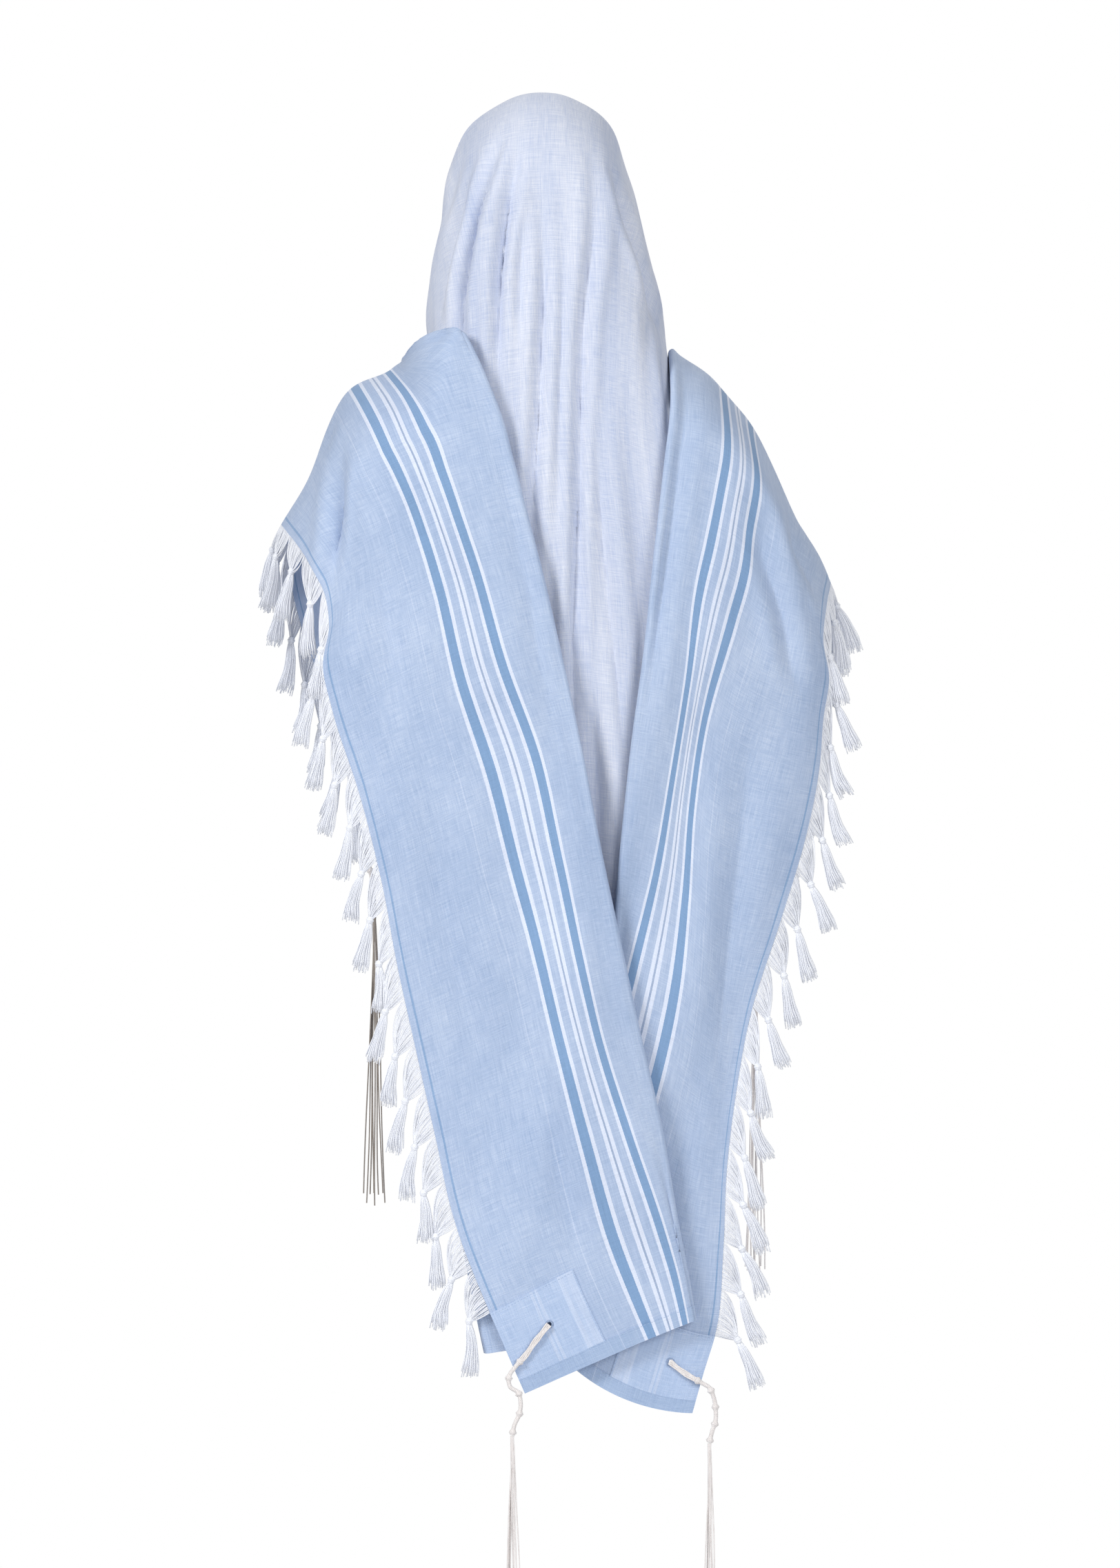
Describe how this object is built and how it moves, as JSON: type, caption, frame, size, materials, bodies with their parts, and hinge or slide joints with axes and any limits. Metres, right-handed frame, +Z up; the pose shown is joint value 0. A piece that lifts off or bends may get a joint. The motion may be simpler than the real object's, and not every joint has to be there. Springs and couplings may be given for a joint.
{
  "type": "tallit prayer shawl, as worn over the head",
  "caption": "Blue woven prayer shawl worn over the head, both striped sides thrown back over the shoulders, with white knotted fringe and corner tassels.",
  "frame": {"origin": "inside of the cloth at the crown of the hood, where the wearer's head carries it", "axes": "+Z up along the hanging cloth; the wearer faces +Y, so the back of the shawl faces -Y; the wearer's left is -X"},
  "size_m": [0.617, 0.3481, 1.7195],
  "materials": {
    "woven_cloth": "soft plain-woven cotton, sky blue, matt, with a white and blue stripe band near each short side",
    "turned_hem": "the same cotton turned double and stitched",
    "corner_patch": "square of the same cotton sewn on, with pale woven streaks and a stitched eyelet",
    "fringe_cotton": "white cotton threads, knotted into tassels",
    "tzitzit_wool": "cream spun wool strings, wound and knotted"
  },
  "bodies": {
    "root": {"hood_back": "woven_cloth", "left_throw": "woven_cloth", "right_throw": "woven_cloth", "hem_centre_back": "turned_hem", "hem_face": "turned_hem", "hem_left_back": "turned_hem", "hem_left_front": "turned_hem", "hem_right_back": "turned_hem", "hem_right_front": "turned_hem", "patch_back_left": "corner_patch", "patch_back_right": "corner_patch", "patch_front_left": "corner_patch", "patch_front_right": "corner_patch", "fringe_left": "fringe_cotton", "fringe_right": "fringe_cotton", "tzitzit_back_left_wound": "tzitzit_wool", "tzitzit_back_left_strings": "tzitzit_wool", "tzitzit_back_right_wound": "tzitzit_wool", "tzitzit_back_right_strings": "tzitzit_wool", "tzitzit_front_left_wound": "tzitzit_wool", "tzitzit_front_left_strings": "tzitzit_wool", "tzitzit_front_right_wound": "tzitzit_wool", "tzitzit_front_right_strings": "tzitzit_wool"}
  },
  "joints": []
}
